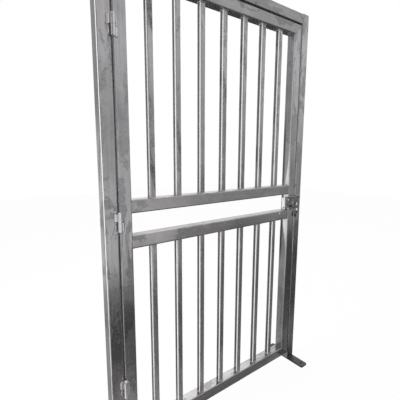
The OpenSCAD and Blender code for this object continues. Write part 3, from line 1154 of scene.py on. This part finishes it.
def makeTacks(rng):
    for body, half, side, inset, away in drops["tacks"]:
        bm = bmesh.new()
        for place in hingePlaces:
            low, high = boxOf("%s_hinge_%s" % (place, half))
            x = low.x + inset if side < 0 else high.x - inset
            z = low.z - away if side < 0 else high.z + away
            middle = (drops["lumps"] - 1) / 2
            for k in range(drops["lumps"]):
                aside = rng.uniform(-drops["lumpAside"], drops["lumpAside"])
                addDrop(bm, (x + aside, high.y, z + (k - middle) * drops["lumpPitch"]), faceOn,
                        rng.uniform(*drops["lumpRadius"]), rng.uniform(*drops["lumpHeight"]), rng,
                        drops["lumpStretch"])
            for k in range(drops["specks"]):
                aside = side * rng.uniform(*drops["speckAside"])
                up = rng.uniform(-drops["speckUp"], drops["speckUp"])
                addDrop(bm, (x + aside, high.y, z + up), faceOn, rng.uniform(*drops["speckRadius"]),
                        drops["speckHeight"], rng)
        finishPiece(bm, "tackLumps" + body.title(), body, "weld")


def makeWeldDrops(rng):
    bm = bmesh.new()
    for rail, panel in (("leaf_bottom_rail", "lower"), ("upper_middle_rail", "upper")):
        top = boxOf(rail)[1].z
        for i in barNumbers:
            low, high = boxOf("%s_bar_%d" % (panel, i))
            for k in range(drops["perBar"]):
                x = (low.x + high.x) / 2 + rng.choice((-1, 1)) * rng.uniform(*drops["barAside"])
                y = rng.uniform(-drops["barDepth"], drops["barDepth"])
                addDrop(bm, (x, y, top), faceUp, rng.uniform(*drops["barRadius"]),
                        drops["barHeight"], rng)
    finishPiece(bm, "weldDrops", "leaf", "weld")


# a scraped mark on the front of the lower middle rail, near the lock
scrape = {
    "along": 1.008,          # from the rail's left end
    "up": 0.038,
    "lean": 0.006,
    "strokes": ((0.0, 0.0, 0.019), (0.0042, -0.0015, 0.010)),    # along, up, length
    "sunk": (0.0008, 0.0006),                                    # at its lower and its upper end
    "radius": 0.0019,
}


def makeScrape(rng):
    low, high = boxOf("lower_middle_rail")
    lowSunk, highSunk = scrape["sunk"]
    bm = bmesh.new()
    for along, up, length in scrape["strokes"]:
        x = low.x + scrape["along"] + along
        z = low.z + scrape["up"] + up
        addBead(bm, [(x, low.y + lowSunk, z), (x + scrape["lean"], low.y + highSunk, z + length)],
                scrape["radius"], rng)
    finishPiece(bm, "railScrape", "leaf", "bright")


# a dark spot on the latch foot, between the post and the fixing hole
footSpot = {
    "place": (0.026, 0.087),         # from the foot's front left corner
    "across": (0.0055, 0.0016),      # half its width, and how far its edge goes in and out
    "acrossWaves": (3, 0.6),         # how often round the edge, and from which angle
    "along": (0.0065, 0.0014),
    "alongWaves": (2, 0),
    "points": 30,
    "over": 0.0003,
    "thick": 0.0005,
}


def makeFootSpot():
    low, high = boxOf("latch_post_foot")
    x, y, z = low.x + footSpot["place"][0], low.y + footSpot["place"][1], high.z + footSpot["over"]

    def reach(way, angle):
        half, uneven = footSpot[way]
        waves, start = footSpot[way + "Waves"]
        return half + uneven * math.sin(waves * angle + start)

    bm = bmesh.new()
    edge = []
    for j in range(footSpot["points"]):
        a = 2 * math.pi * j / footSpot["points"]
        edge.append(bm.verts.new((x + reach("across", a) * math.cos(a),
                                  y + reach("along", a) * math.sin(a), z)))
    bm.faces.new(edge)
    made = bmesh.ops.extrude_face_region(bm, geom=bm.faces[:])["geom"]
    corners = [v for v in made if isinstance(v, bmesh.types.BMVert)]
    bmesh.ops.translate(bm, vec=(0, 0, -footSpot["thick"]), verts=corners)
    finishPiece(bm, "footDarkSpot", "frame", "plastic", False)


keyRing = {
    "radius": 0.0085,
    "wire": 0.0008,
    "turn": 32,          # degrees
    "around": 40,
    "sides": 10,
}


def makeKeyRing():
    low, high = boxOf("lock_key")
    spareLow, spareHigh = boxOf("spare_key")
    mid = ((low + high) / 2 + (spareLow + spareHigh) / 2) / 2
    centre = Vector((mid.x, mid.y, spareHigh.z))
    turn = math.radians(keyRing["turn"])
    across, up = Vector((math.cos(turn), math.sin(turn), 0)), Vector((0, 0, 1))
    out = across.cross(up)
    bm = bmesh.new()
    rings = []
    for i in range(keyRing["around"]):
        a = 2 * math.pi * i / keyRing["around"]
        spoke = math.cos(a) * across + math.sin(a) * up
        ring = []
        for j in range(keyRing["sides"]):
            b = 2 * math.pi * j / keyRing["sides"]
            away = keyRing["radius"] + keyRing["wire"] * math.cos(b)
            ring.append(bm.verts.new(centre + away * spoke + keyRing["wire"] * math.sin(b) * out))
        rings.append(ring)
    for i in range(keyRing["around"]):
        joinRings(bm, rings[i], rings[(i + 1) % keyRing["around"]])
    finishPiece(bm, "keyRing", "leaf", "chrome")


makeLockFittings()
makePlateScrewsAndHoleShade()
makePinCaps()
dropDraws = random.Random(drops["seed"])
makeTacks(dropDraws)
makeWeldDrops(dropDraws)
makeScrape(dropDraws)
makeFootSpot()
makeKeyRing()
print("fittings ready")
